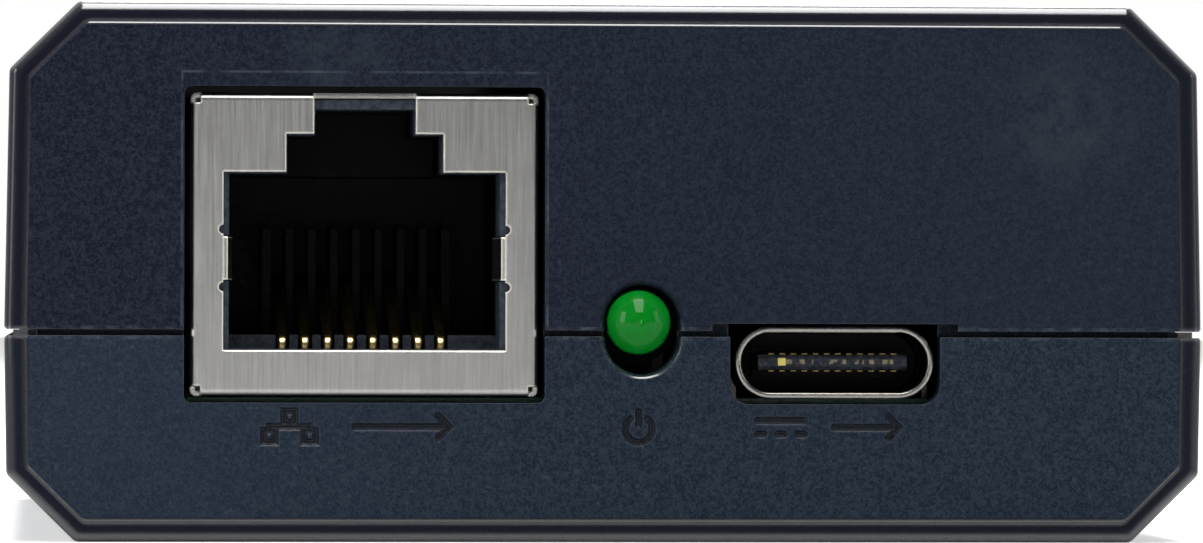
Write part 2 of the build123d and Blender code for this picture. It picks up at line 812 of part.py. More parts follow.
# Self tapping screws, driven from below into the upper bosses
with BuildPart() as case_screws:
    with BuildSketch(Plane.XY.offset(screw_recess)):
        with Locations(*boss_points):
            Circle(screw_core_diameter / 2)
    extrude(amount=screw_length - screw_tip)
    with BuildSketch(Plane.XY.offset(screw_recess + screw_length - screw_tip)):
        with Locations(*boss_points):
            Circle(screw_core_diameter / 2)
    extrude(amount=screw_tip, taper=screw_tip_angle)
    with BuildSketch(Plane.XY.offset(screw_recess)):
        with Locations(*boss_points):
            Circle(screw_head_diameter / 2)
    extrude(amount=-screw_head_height)
    rims = case_screws.edges().group_by(Axis.Z)[0]
    fillet(rims, radius=screw_head_round)
    with BuildSketch(Plane.XY.offset(screw_recess - screw_head_height)):
        with Locations(*boss_points):
            Rectangle(screw_socket_length, screw_socket_width)
            Rectangle(screw_socket_width, screw_socket_length)
    extrude(amount=screw_socket_depth, mode=Mode.SUBTRACT)
case_screws.part.label = "case_screws"
export_step(case_screws.part, "parts/case_screws.step")


def box_at(place, size, lift):
    """Block standing over the board at a place, with its size and its lift."""
    with BuildSketch(Plane.XY.offset(board_top + lift)) as foot:
        with Locations(place):
            Rectangle(size[0], size[1])
    extrude(foot.sketch, amount=size[2])


def gull_lead(place, turn, height, out, width, thickness):
    """Bent lead that leaves a body sideways and lands flat on the board."""
    start = Plane(origin=(place[0], place[1], board_top)).rotated((0, 0, turn))
    side = Plane(origin=start.origin, x_dir=start.x_dir, z_dir=-start.y_dir)
    with BuildSketch(side) as strip:
        with BuildLine():
            Polyline(
                (0, height),
                (out * lead_shoulder, height),
                (out * lead_foot, thickness / 2),
                (out, thickness / 2),
            )
        trace(line_width=thickness)
    extrude(strip.sketch, amount=width / 2, both=True)


def lead_rows(place, size, count, pitch, out, width, thickness, lift):
    """Leads in two rows along the front and rear sides of a body."""
    for n in range(count):
        x = place[0] + (n - (count - 1) / 2) * pitch
        for side in (-1, 1):
            y = place[1] + side * size[1] / 2
            gull_lead((x, y), side * 90, lift + size[2] / 2, out, width, thickness)


# Isolation transformer of the data pairs, between the two network sockets
with BuildPart() as lan_transformer:
    box_at(transformer_place, transformer_size, transformer_standoff)
    chamfer(lan_transformer.edges().group_by(Axis.Z)[-1], length=chip_edge)
lan_transformer.part.label = "lan_transformer"
export_step(lan_transformer.part, "parts/lan_transformer.step")

with BuildPart() as lan_transformer_leads:
    lead_rows(
        transformer_place,
        transformer_size,
        transformer_lead_count,
        transformer_lead_pitch,
        transformer_lead_out,
        transformer_lead_width,
        transformer_lead_thickness,
        transformer_standoff,
    )
lan_transformer_leads.part.label = "lan_transformer_leads"
export_step(lan_transformer_leads.part, "parts/lan_transformer_leads.step")

# Power transformer: bobbin on the board, winding round it and core through it
leg_height = board_top + bobbin_height / 2
bobbin_length = core_length - 2 * (core_back + bobbin_fit)
flange_width = core_width - 2 * (core_side + bobbin_fit)
tube_width = core_leg + 2 * (bobbin_fit + bobbin_wall)
tube_height = core_depth + 2 * (bobbin_fit + bobbin_wall)
flyback_low = Plane(origin=(*flyback_place, leg_height), z_dir=(0, 0, 1))
flyback_side = Plane(origin=(*flyback_place, leg_height), x_dir=(0, 1, 0), z_dir=(1, 0, 0))
with BuildPart() as flyback_bobbin:
    with BuildSketch(flyback_side):
        Rectangle(tube_width, tube_height)
    extrude(amount=bobbin_length / 2, both=True)
    for side in (-1, 1):
        with BuildSketch(flyback_side.offset(side * (bobbin_length - bobbin_flange) / 2)):
            RectangleRounded(flange_width, bobbin_height, winding_round)
            with Locations((0, (bobbin_foot - bobbin_height) / 2)):
                Rectangle(flange_width, bobbin_foot)
        extrude(amount=bobbin_flange / 2, both=True)
        with BuildSketch(Plane.XY.offset(board_top)):
            x = flyback_place[0] + side * (bobbin_length / 2 + bobbin_rail / 2 - bobbin_flange)
            with Locations((x, flyback_place[1])):
                Rectangle(bobbin_rail, flange_width)
        extrude(amount=bobbin_foot)
    with BuildSketch(flyback_side):
        Rectangle(core_leg + 2 * bobbin_fit, core_depth + 2 * bobbin_fit)
    extrude(amount=bobbin_length, both=True, mode=Mode.SUBTRACT)
    with BuildSketch(Plane.XY.offset(board_top)):
        with Locations(*flyback_pin_points):
            Circle(flyback_pin / 2 + bobbin_fit / 2)
    extrude(amount=flyback_pin_hold, mode=Mode.SUBTRACT)
flyback_bobbin.part.label = "flyback_bobbin"
export_step(flyback_bobbin.part, "parts/flyback_bobbin.step")

with BuildPart() as flyback_core:
    with BuildSketch(flyback_low.offset(-core_depth / 2)):
        Rectangle(core_length, core_width)
        window_length = core_length - 2 * core_back
        window_width = (core_width - core_leg) / 2 - core_side
        for side in (-1, 1):
            with Locations((0, side * (core_leg + window_width) / 2)):
                Rectangle(window_length, window_width, mode=Mode.SUBTRACT)
    extrude(amount=core_depth)
flyback_core.part.label = "flyback_core"
export_step(flyback_core.part, "parts/flyback_core.step")

with BuildPart() as flyback_winding:
    with BuildSketch(flyback_side):
        RectangleRounded(winding_size, winding_size, winding_round)
        Rectangle(tube_width + bobbin_fit, tube_height + bobbin_fit, mode=Mode.SUBTRACT)
    extrude(amount=bobbin_length / 2 - bobbin_flange - bobbin_fit, both=True)
flyback_winding.part.label = "flyback_winding"
export_step(flyback_winding.part, "parts/flyback_winding.step")

with BuildPart() as flyback_pins:
    with BuildSketch(Plane.XY.offset(board_low - flyback_pin_reach + board_thickness)):
        with Locations(*flyback_pin_points):
            Circle(flyback_pin / 2)
    extrude(amount=flyback_pin_reach + flyback_pin_hold)
flyback_pins.part.label = "flyback_pins"
export_step(flyback_pins.part, "parts/flyback_pins.step")


def build_capacitor(place):
    """Upright round capacitor can with a rolled groove near its foot."""
    radius = capacitor_diameter / 2
    with BuildPart() as can:
        with BuildSketch(Plane(origin=(*place, board_top), x_dir=(1, 0, 0), z_dir=(0, -1, 0))):
            with BuildLine():
                Polyline(
                    (0, 0),
                    (radius - capacitor_groove, 0),
                    (radius, capacitor_groove),
                    (radius, capacitor_groove_place),
                    (radius - capacitor_groove, capacitor_groove_place + capacitor_groove),
                    (radius, capacitor_groove_place + 2 * capacitor_groove),
                    (radius, capacitor_height - capacitor_groove),
                    (radius - capacitor_groove, capacitor_height),
                    (0, capacitor_height),
                    close=True,
                )
            make_face()
        revolve(axis=Axis((*place, board_top), (0, 0, 1)))
    return can.part


can_names = ("input_capacitor", "output_capacitor_1", "output_capacitor_2")
for name, place in zip(can_names, standing_capacitors):
    can = build_capacitor(place)
    can.label = name
    export_step(can, f"parts/{name}.step")

# Disc capacitor across the isolation gap, standing on edge over the board
with BuildPart() as isolation_capacitor:
    disc_middle = board_top + disc_lift + disc_diameter / 2
    with BuildSketch(Plane(origin=(*isolation_place, disc_middle), x_dir=(1, 0, 0), z_dir=(0, -1, 0))):
        Circle(disc_diameter / 2)
    extrude(amount=disc_thickness / 2, both=True)
    fillet(isolation_capacitor.edges().filter_by(GeomType.CIRCLE), radius=disc_thickness / 3)
isolation_capacitor.part.label = "isolation_capacitor"
export_step(isolation_capacitor.part, "parts/isolation_capacitor.step")

# Leads of the cans and of the disc
with BuildPart() as capacitor_leads:
    with BuildSketch(Plane.XY.offset(board_low - pin_reach)):
        with Locations(*capacitor_lead_points):
            Circle(capacitor_lead / 2)
    extrude(amount=board_thickness + pin_reach)
    disc_rise = disc_lift + disc_diameter / 2
    disc_rise -= ((disc_diameter / 2) ** 2 - (disc_lead_pitch / 2) ** 2) ** 0.5
    with BuildSketch(Plane.XY.offset(board_top)):
        with Locations(*capacitor_lead_points[-2:]):
            Circle(capacitor_lead / 2)
    extrude(amount=disc_rise - disc_lead_gap)
capacitor_leads.part.label = "capacitor_leads"
export_step(capacitor_leads.part, "parts/capacitor_leads.step")

# Chips and other small bodies, each on the board
chips = {
    "bridge_rectifier_a": (bridge_places[0], bridge_size, chip_standoff),
    "bridge_rectifier_b": (bridge_places[1], bridge_size, chip_standoff),
    "pd_controller": (pd_place, pd_size, 0),
    "switching_mosfet": (mosfet_place, mosfet_size, chip_standoff),
    "output_rectifier": (rectifier_place, rectifier_size, 0),
    "optocoupler": (optocoupler_place, optocoupler_size, chip_standoff),
    "outlet_controller": (outlet_chip_place, outlet_chip_size, 0),
}
for name, (place, size, lift) in chips.items():
    with BuildPart() as chip:
        box_at(place, size, lift)
        chamfer(chip.edges().group_by(Axis.Z)[-1], length=chip_edge)
    chip.part.label = name
    export_step(chip.part, f"parts/{name}.step")

# Shielded coil on the output side
with BuildPart() as output_choke:
    box_at(choke_place, choke_size, 0)
    fillet(output_choke.edges().filter_by(Axis.Z), radius=choke_round)
    with BuildSketch(Plane.XY.offset(board_top + choke_size[2])):
        with Locations(choke_place):
            Circle(choke_size[0] / 2 - choke_ring)
            Circle(choke_size[0] / 2 - 2 * choke_ring, mode=Mode.SUBTRACT)
    extrude(amount=-choke_ring, mode=Mode.SUBTRACT)
output_choke.part.label = "output_choke"
export_step(output_choke.part, "parts/output_choke.step")

# Bent leads of the small chips
with BuildPart() as chip_leads:
    rows = (
        (bridge_places[0], bridge_size, 2, bridge_lead_pitch),
        (bridge_places[1], bridge_size, 2, bridge_lead_pitch),
        (mosfet_place, mosfet_size, 4, small_lead_pitch),
        (optocoupler_place, optocoupler_size, 2, bridge_lead_pitch),
    )
    for place, size, count, pitch in rows:
        lead_rows(
            place, size, count, pitch, chip_lead_out, chip_lead_width, chip_lead_thickness, chip_standoff
        )
chip_leads.part.label = "chip_leads"
export_step(chip_leads.part, "parts/chip_leads.step")

# Small chip capacitors and resistors in rows beside the transformer
small_parts = (
    ("chip_capacitors", small_capacitor_size, capacitor_spots),
    ("chip_resistors", small_resistor_size, resistor_spots),
)
for name, size, spots in small_parts:
    with BuildPart() as group:
        with BuildSketch(Plane.XY.offset(board_top)):
            with Locations(*spots):
                Rectangle(size[0], size[1])
        extrude(amount=size[2])
    group.part.label = name
    export_step(group.part, f"parts/{name}.step")
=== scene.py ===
import math

import bmesh
import bpy
from mathutils import Matrix, Vector


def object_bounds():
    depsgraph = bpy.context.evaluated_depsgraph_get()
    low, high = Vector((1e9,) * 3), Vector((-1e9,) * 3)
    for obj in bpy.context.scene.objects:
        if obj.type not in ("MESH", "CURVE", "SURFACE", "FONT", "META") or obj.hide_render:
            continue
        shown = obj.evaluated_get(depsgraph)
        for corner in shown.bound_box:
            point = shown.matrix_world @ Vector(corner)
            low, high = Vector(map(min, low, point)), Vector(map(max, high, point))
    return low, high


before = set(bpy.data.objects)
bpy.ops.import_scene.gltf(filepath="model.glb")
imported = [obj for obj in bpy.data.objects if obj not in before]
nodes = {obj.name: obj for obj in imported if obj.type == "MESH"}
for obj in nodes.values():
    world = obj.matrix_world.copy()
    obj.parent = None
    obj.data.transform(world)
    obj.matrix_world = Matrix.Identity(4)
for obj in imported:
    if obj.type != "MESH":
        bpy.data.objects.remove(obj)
cad_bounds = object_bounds()
scene = bpy.context.scene
MM = 0.001


def mm(*values):
    """Millimetres as metres."""
    return tuple(v * MM for v in values)


# Sizes and places on the case, in metres
HALF_LENGTH = 42.0 * MM
FRONT = -HALF_LENGTH
HALF_WIDTH = 26.75 * MM
CASE_HEIGHT = 24.0 * MM
CORNER_CUT = 3.0 * MM
SEAM, SEAM_RUB = mm(9.30, 0.30)
# Depth below an end face that still counts as its surface
SKIN = 0.3 * MM
# The rim fades out over this distance from the outline, and over this depth
RIM_INNER, RIM_OUTER = mm(1.15, 1.02)
RIM_DEEP, RIM_FULL = mm(1.9, 1.1)
SOCKET_X = -10.77 * MM
SOCKET_LINE_HALF, SOCKET_LINE_TOP, LINE_HALF = mm(8.13, 20.89, 0.05)
LAMP_HOLE = mm(1.58, 0, 9.15)
LAMP_RING, LAMP_RING_HALF = mm(1.78, 0.17)
SIGN_ROW, SIGN_ROW_HALF, SIGN_MARGIN = mm(5.2, 1.05, 2.0)
TONGUE_FRONT = FRONT + 1.45 * MM
TONGUE_Z, FLECKS_HALF = mm(8.06, 0.10)
PAD_X, PAD_HALF = mm(7.95, 0.17)

# Pale smudges on the front end: centre, full within, gone beyond
SMUDGES = (
    (mm(20.4, -42.0, 18.9), 0.5 * MM, 4.2 * MM),
    (mm(-12.0, -42.0, 21.4), 0.3 * MM, 3.0 * MM),
)


class Nodes:
    """Node tree of a material or world, with short calls for the nodes that repeat."""

    def __init__(self, owner):
        owner.use_nodes = True
        self.owner = owner
        self.tree = owner.node_tree
        self.tree.nodes.clear()

    def add(self, kind, inputs=None, **settings):
        """Add a node, set its own settings, and link or set its inputs."""
        added = self.tree.nodes.new("ShaderNode" + kind)
        for key, value in settings.items():
            setattr(added, key, value)
        for key, value in (inputs or {}).items():
            if isinstance(value, bpy.types.NodeSocket):
                self.tree.links.new(value, added.inputs[key])
            else:
                added.inputs[key].default_value = value
        return added

    def finish(self, output, shader):
        """Link the last shader to the output, and hand over what it belongs to."""
        self.add(output, {"Surface": shader.outputs[0]})
        return self.owner

    def principled(self, **inputs):
        """Finish a material; an underscore in a name stands for a space."""
        named = {key.replace("_", " "): value for key, value in inputs.items()}
        return self.finish("OutputMaterial", self.add("BsdfPrincipled", named))

    # Values

    def math(self, operation, a, b=0.0):
        return self.add("Math", {0: a, 1: b}, operation=operation).outputs[0]

    def times(self, product, *factors):
        for factor in factors:
            product = self.math("MULTIPLY", product, factor)
        return product

    def most(self, a, b):
        return self.math("MAXIMUM", a, b)

    def least(self, a, b):
        return self.math("MINIMUM", a, b)

    def below(self, a, b):
        return self.math("LESS_THAN", a, b)

    def above(self, a, b):
        return self.math("GREATER_THAN", a, b)

    def minus(self, a, b):
        return self.math("SUBTRACT", a, b)

    def size(self, a):
        return self.math("ABSOLUTE", a)

    def gap(self, a, b):
        """How far one value is from another."""
        return self.size(self.minus(a, b))

    def map(self, value, low, high, to_low=0.0, to_high=1.0):
        """Carry one span of values over to another, held at its ends."""
        inputs = {0: value, 1: low, 2: high, 3: to_low, 4: to_high}
        return self.add("MapRange", inputs).outputs[0]

    # Colours

    def ramp(self, value, low, high):
        """Grey that rises from black at one value to white at another."""
        added = self.add("ValToRGB", {0: value})
        for element, place, grey in zip(added.color_ramp.elements, (low, high), (0, 1)):
            element.position = place
            element.color = (grey, grey, grey, 1)
        return added.outputs[0]

    def mix(self, factor, a, b):
        """Mix two colours, each a socket or three values."""
        a, b = (c if isinstance(c, bpy.types.NodeSocket) else (*c, 1) for c in (a, b))
        return self.add("Mix", {0: factor, 6: a, 7: b}, data_type="RGBA").outputs[2]

    def tint(self, base, mask, strength, colour):
        """Lay a colour over another where a mask is up."""
        return self.mix(self.times(mask, strength), base, colour)

    # Places

    def coords(self, scale=(1, 1, 1)):
        """Object coordinates in metres, stretched."""
        place = self.add("TexCoord").outputs["Object"]
        return self.add("Mapping", {"Vector": place, "Scale": scale}).outputs[0]

    def split(self, vector):
        """The x, y and z of a vector."""
        return self.add("SeparateXYZ", {0: vector}).outputs

    def place(self):
        """Object coordinates one by one."""
        return self.split(self.add("TexCoord").outputs["Object"])

    def depth(self, y):
        """How far a point lies behind the nearer end face."""
        return self.minus(HALF_LENGTH, self.size(y))

    def distance(self, place, centre):
        return self.add("VectorMath", {0: place, 1: centre}, operation="DISTANCE").outputs["Value"]

    def noise(self, vector, scale, detail=3, rough=0.6):
        inputs = {"Vector": vector, "Scale": scale, "Detail": detail, "Roughness": rough}
        return self.add("TexNoise", inputs).outputs[0]

    # Normals

    def true_normal(self):
        return self.add("NewGeometry").outputs["Normal"]

    def bump(self, height, strength, distance=0.02 * MM):
        inputs = {"Height": height, "Strength": strength, "Distance": distance}
        return self.add("Bump", inputs).outputs[0]

    def bevel(self, radius, samples, normal=None):
        inputs = {"Radius": radius}
        if normal:
            inputs["Normal"] = normal
        return self.add("Bevel", inputs, samples=samples).outputs[0]

    def wear(self, softened, flat, at_edge):
        """Rises where a softened normal leans away from the true one, as at an edge."""
        normals = {0: softened, 1: self.true_normal()}
        facing = self.add("VectorMath", normals, operation="DOT_PRODUCT").outputs["Value"]
        return self.map(facing, flat, at_edge)

    # Rays

    def seen(self, backdrop):
        """One for camera rays, and for glossy and clear rays that meet the backdrop."""
        path = self.add("LightPath").outputs
        mirrored = self.most(path["Is Glossy Ray"], path["Is Transmission Ray"])
        return self.most(path["Is Camera Ray"], self.times(mirrored, backdrop))


def new_material(name):
    return Nodes(bpy.data.materials.new(name))


def scaled(colour, factor):
    """Lighter or darker colour."""
    return [min(1, c * factor) for c in colour]


def assign(names, material):
    """Give CAD nodes their one material."""
    for name in names:
        materials = nodes[name].data.materials
        materials.clear()
        materials.append(material)


# Moulded plastic of the case: grained end faces with polished rims round them

def edge_distance(s, x, z):
    """How far a point of an end face lies inside the case's outline."""
    x_in = s.minus(HALF_WIDTH, s.size(x))
    z_in = s.least(z, s.minus(CASE_HEIGHT, z))
    beside_cut = s.math("ADD", x_in, CASE_HEIGHT / 2 - CORNER_CUT)
    cut_in = s.times(s.minus(beside_cut, s.gap(z, CASE_HEIGHT / 2)), math.sqrt(0.5))
    return s.least(s.least(x_in, z_in), cut_in)


def front_marks(s, x, z, on_front):
    """Masks of the line round the socket, the lamp's ring and the signs."""
    outside = s.most(s.minus(s.gap(x, SOCKET_X), SOCKET_LINE_HALF), s.minus(z, SOCKET_LINE_TOP))
    line = s.times(s.below(s.size(outside), LINE_HALF), s.above(z, SEAM + SKIN), on_front)
    flat = s.add("CombineXYZ", {0: x, 2: z}).outputs[0]
    ring = s.below(s.gap(s.distance(flat, LAMP_HOLE), LAMP_RING), LAMP_RING_HALF)
    signs = s.below(s.gap(z, SIGN_ROW), SIGN_ROW_HALF)
    within = s.above(s.minus(HALF_WIDTH, s.size(x)), SIGN_MARGIN)
    return line, s.times(ring, on_front), s.times(signs, within, on_front)


def case_material(name, colour, cloud, wear, painted_shading_colour, painted_shading_from, painted_shading_to):
    """Plastic of one half; painted light and shade change its tone to a second colour between two
    places across.
    """
    s = new_material(name)
    v = s.coords()
    x, y, z = s.place()
    depth = s.depth(y)
    surface = s.below(depth, SKIN)
    on_front = s.below(y, 0.0)
    line, ring, signs = front_marks(s, x, z, on_front)
    ring, signs = s.times(ring, surface), s.times(signs, surface)
    # Clouds, painted light and shade that change the tone slowly across the end, pale specks and
    # grain
    base = s.mix(s.ramp(s.noise(v, 260, 4, 0.6), 0.32, 0.7), colour, cloud)
    base = s.mix(s.map(x, painted_shading_from, painted_shading_to), base, painted_shading_colour)
    specks = s.ramp(s.noise(v, 2600, 1, 0.4), 0.70, 0.78)
    base = s.tint(base, specks, 0.22, scaled(wear, 3.2))
    fine = s.noise(v, 5200, 3, 0.65)
    mottle = s.ramp(fine, 0.42, 0.62)
    base = s.tint(base, mottle, 0.62, wear)
    grain = s.noise(v, 9500, 2, 0.5)
    base = s.tint(base, s.ramp(grain, 0.50, 0.64), 0.55, scaled(wear, 1.15))
    # Faint smudges near the top, and a faint moulded line round the socket
    patch = s.ramp(s.noise(v, 900), 0.35, 0.65)
    smudges = [s.map(s.distance(v, place), far, near) for place, near, far in SMUDGES]
    base = s.tint(base, s.times(s.most(*smudges), patch), 0.5, (0.030, 0.040, 0.050))
    base = s.tint(base, s.times(line, patch), 0.7, (0.050, 0.062, 0.080))
    # Rubbed edges along the seam
    rubbed = s.ramp(s.noise(v, 1500, 4, 0.7), 0.45, 0.68)
    rubbed = s.times(rubbed, s.below(s.gap(z, SEAM), SEAM_RUB), surface)
    base = s.tint(base, rubbed, 0.35, (0.10, 0.12, 0.15))
    # The rims and the lower edge of the lamp's opening are polished, the rest is grained
    rim = s.times(s.map(edge_distance(s, x, z), RIM_INNER, RIM_OUTER),
                  s.map(depth, RIM_DEEP, RIM_FULL))
    polished = s.most(rim, ring)
    height = s.math("ADD", s.times(grain, 0.6), fine)
    height = s.times(height, s.math("ADD", s.times(s.minus(1.0, polished), 0.85), 0.5))
    softened = s.bevel(s.map(rim, 0, 1, 0.06 * MM, 0.34 * MM), 6, s.bump(height, 0.2))
    # The flat of a rim is duller than its rounded edges
    _, facing_end, facing_up = s.split(softened)
    turned = s.map(s.size(facing_end), 0.992, 0.95, 0.06, 1.0)
    upright = s.map(s.size(facing_up), 0.1, 0.5, 0.22, 1.0)
    polished = s.times(polished, turned, upright)
    # Sharp edges are worn smooth, so they catch the light
    at_edge = s.wear(s.bevel(0.05 * MM, 4), 0.985, 0.90)
    polished = s.most(polished, s.times(at_edge, 0.75))
    # The signs' lower walls catch the light, and their floors get painted shade
    lower_wall = s.times(s.above(s.split(s.true_normal())[2], 0.35), signs)
    polished = s.most(polished, s.times(lower_wall, 0.42))
    groove_floor_shade = s.times(s.map(depth, 0.02 * MM, 0.10 * MM), signs)
    base = s.tint(base, groove_floor_shade, 0.75, (0.0004, 0.0006, 0.0016))
    # The rims' colour is darkened: painted shade on their flats
    base = s.tint(base, rim, 0.8, (0.0008, 0.0012, 0.0060))
    return s.principled(
        Base_Color=base, Roughness=s.map(mottle, 0, 1, 0.42, 0.58), Normal=softened, IOR=1.5,
        Specular_IOR_Level=0.13, Coat_Weight=polished, Coat_Roughness=0.2, Coat_IOR=2.1,
    )


# The lower half's lighter colours are painted light, standing in for the floor's bounce on it
assign(["top_cover"], case_material(
    "case_top", (0.0010, 0.0016, 0.0100), (0.0020, 0.0034, 0.0130), (0.0150, 0.0210, 0.0330),
    (0.0050, 0.0090, 0.0190), -22.0 * MM, 22.0 * MM,
))
assign(["bottom_case"], case_material(
    "case_low", (0.0070, 0.0135, 0.0270), (0.0090, 0.0160, 0.0300), (0.0220, 0.0320, 0.0480),
    (0.0035, 0.0090, 0.0185), -22.0 * MM, -2.0 * MM,
))


# Plated sheet metal, brushed along one axis, with painted highlights on its edges

def sheet_metal(name, colour, brushed, rough, stretch, edge, painted_edge_highlight, dark):
    s = new_material(name)
    lines = s.noise(s.coords(stretch), 9000)
    base = s.mix(s.ramp(lines, 0.25, 0.75), colour, brushed)
    stains = s.ramp(s.noise(s.coords(), 700), 0.4, 0.7)
    base = s.tint(base, stains, 0.22, scaled(colour, 0.80))
    softened = s.bevel(edge, 4, s.bump(lines, 0.13, 0.01 * MM))
    # Pale crest colour on the edges: a painted highlight where the rounded edges catch the light
    at_edge = s.wear(softened, 0.995, 0.94)
    base = s.mix(at_edge, base, painted_edge_highlight)
    # Further in, the sheet's colour is darkened with painted shade, the dark of the case
    inside = s.map(s.depth(s.place()[1]), 1.0 * MM, 2.2 * MM, 0.0, dark)
    base = s.mix(inside, base, scaled(colour, 0.2))
    rough = s.most(s.map(lines, 0, 1, *rough), s.times(at_edge, 0.42))
    return s.principled(Base_Color=base, Metallic=1.0, Roughness=rough, Normal=softened)


assign(["data_jack_shield", "poe_jack_shield"], sheet_metal(
    "shield_nickel", (0.36, 0.352, 0.335), (0.51, 0.50, 0.478), (0.18, 0.28),
    (1, 1, 0.03), edge=0.14 * MM, painted_edge_highlight=(0.98, 0.95, 0.84), dark=0.0,
))
assign(["outlet_shell"], sheet_metal(
    "outlet_steel", (0.26, 0.25, 0.24), (0.40, 0.385, 0.36), (0.12, 0.20),
    (1, 0.05, 1), edge=0.04 * MM, painted_edge_highlight=(0.60, 0.56, 0.48), dark=1.0,
))


# Plain plastics and metals

def plain_plastic(name, colour, rough, scale, tint=1.4, level=0.4):
    s = new_material(name)
    fine = s.noise(s.coords(), scale)
    return s.principled(
        Base_Color=s.mix(s.ramp(fine, 0.3, 0.75), colour, scaled(colour, tint)),
        Roughness=s.map(fine, 0, 1, rough - 0.06, rough + 0.08),
        Normal=s.bump(fine, 0.12), Specular_IOR_Level=level,
    )


def plain_metal(name, colour, rough):
    s = new_material(name)
    fine = s.noise(s.coords(), 3000)
    return s.principled(
        Base_Color=s.mix(s.ramp(fine, 0.3, 0.75), scaled(colour, 0.8), colour),
        Metallic=1.0, Roughness=s.map(fine, 0, 1, rough - 0.06, rough + 0.1),
    )


jack_contacts = [f"{j}_jack_contact_{n}" for j in ("data", "poe") for n in range(1, 9)]
chips = [
    "lan_transformer", "bridge_rectifier_a", "bridge_rectifier_b", "pd_controller",
    "switching_mosfet", "output_rectifier", "optocoupler", "outlet_controller", "chip_resistors",
]
leads = ["lan_transformer_leads", "flyback_pins", "capacitor_leads", "chip_leads"]
for names, material in (
    (["flyback_bobbin"],
     plain_plastic("insert_black", (0.0014, 0.0017, 0.0036), 0.40, 3500, level=0.10)),
    (jack_contacts, plain_metal("contact_gold", (0.95, 0.72, 0.30), 0.2)),
    (["outlet_contacts"], plain_metal("contact_gold_dull", (0.20, 0.145, 0.06), 0.42)),
    (leads, plain_metal("lead_tin", (0.75, 0.74, 0.72), 0.3)),
    # Dark grey for the lamp's leads: painted shade, as they lie in the dark behind the lamp's
    # opening
    (["lamp_anode_lead", "lamp_cathode_lead"],
     plain_metal("lead_tin_painted_shade", (0.10, 0.10, 0.10), 0.5)),
    (chips, plain_plastic("chip_black", (0.012, 0.012, 0.013), 0.5, 5000)),
    (["flyback_core", "output_choke"],
     plain_plastic("ferrite_grey", (0.06, 0.06, 0.06), 0.6, 3000)),
    (["flyback_winding"], plain_plastic("tape_yellow", (0.62, 0.42, 0.04), 0.3, 1500, tint=1.15)),
    (["input_capacitor", "output_capacitor_1", "output_capacitor_2"],
     plain_plastic("can_sleeve", (0.012, 0.016, 0.035), 0.3, 1500)),
    (["isolation_capacitor"], plain_plastic("disc_blue", (0.02, 0.08, 0.32), 0.25, 1500)),
    (["chip_capacitors"], plain_plastic("chip_ceramic", (0.45, 0.32, 0.2), 0.5, 4000, tint=1.1)),
    (["case_screws"], plain_metal("screw_steel", (0.20, 0.20, 0.21), 0.35)),
    (["main_board"], plain_plastic("board_green", (0.008, 0.09, 0.03), 0.28, 900, tint=1.2)),
):
    assign(names, material)


def insert_material():
    """Moulded black insert: painted light makes it greyish near the mouth, and it is black further
    in.
    """
    s = new_material("insert_moulded")
    fine = s.noise(s.coords(), 3500)
    tone = s.ramp(fine, 0.3, 0.7)
    mouth = s.map(s.depth(s.place()[1]), 4.6 * MM, 2.6 * MM)
    pale = s.mix(tone, (0.018, 0.022, 0.032), (0.055, 0.063, 0.078))
    return s.principled(
        Base_Color=s.mix(mouth, (0.0008, 0.0010, 0.0022), pale),
        Roughness=s.map(tone, 0, 1, 0.26, 0.44),
        Normal=s.bevel(0.12 * MM, 4, s.bump(fine, 0.25)), Specular_IOR_Level=0.06,
    )


def tongue_material():
    """Tongue of the outlet: dark, with pale scuffs and gold on its front edge."""
    s = new_material("tongue_black")
    fine = s.noise(s.coords(), 4200)
    x, y, z = s.place()
    front = s.below(y, TONGUE_FRONT)
    scuffed = s.mix(s.ramp(fine, 0.35, 0.7), (0.010, 0.012, 0.017), (0.034, 0.040, 0.050))
    base = s.mix(front, (0.0024, 0.0026, 0.0036), scuffed)
    off_row = s.gap(z, TONGUE_Z)
    flecks = s.ramp(s.noise(s.coords((1, 1, 0.4)), 4200, 1, 0.3), 0.52, 0.64)
    flecks = s.times(flecks, s.below(off_row, FLECKS_HALF), front)
    base = s.tint(base, flecks, 0.7, (0.28, 0.24, 0.14))
    pad = s.times(s.below(s.gap(x, PAD_X), PAD_HALF), front, s.below(off_row, PAD_HALF))
    return s.principled(
        Base_Color=s.mix(pad, base, (0.62, 0.55, 0.16)),
        Roughness=s.map(fine, 0, 1, 0.35, 0.6), Specular_IOR_Level=0.12,
    )


def lens_material():
    """Lens of the lamp: cloudy green resin under a smooth skin, darkened with painted shade
    further in.
    """
    s = new_material("lens_green")
    cloud = s.ramp(s.noise(s.coords(), 900), 0.3, 0.75)
    base = s.mix(cloud, (0.0010, 0.150, 0.0080), (0.0026, 0.190, 0.0180))
    inside = s.map(s.place()[1], FRONT + 0.7 * MM, FRONT + 2.2 * MM)
    return s.principled(
        Base_Color=s.mix(inside, base, (0.0002, 0.006, 0.001)), IOR=1.5,
        Roughness=s.most(s.map(cloud, 0, 1, 0.03, 0.06), s.times(inside, 0.7)),
        Specular_IOR_Level=0.17,
    )


assign(["data_jack_insert", "poe_jack_insert"], insert_material())
assign(["outlet_tongue"], tongue_material())
assign(["lamp_lens"], lens_material())


# The stamped contacts and the rolled rim of the outlet have rounded edges

def round_edges(names, width, clamped=True):
    for name in names:
        joined = nodes[name].modifiers.new("joined", "WELD")
        joined.merge_threshold = 0.002 * MM
        rounding = nodes[name].modifiers.new("rounding", "BEVEL")
        rounding.width = width
        rounding.segments = 3
        rounding.limit_method = "ANGLE"
        rounding.angle_limit = math.radians(50)
        rounding.use_clamp_overlap = clamped


round_edges(jack_contacts, 0.14 * MM)
round_edges(["outlet_shell"], 0.12 * MM, clamped=False)


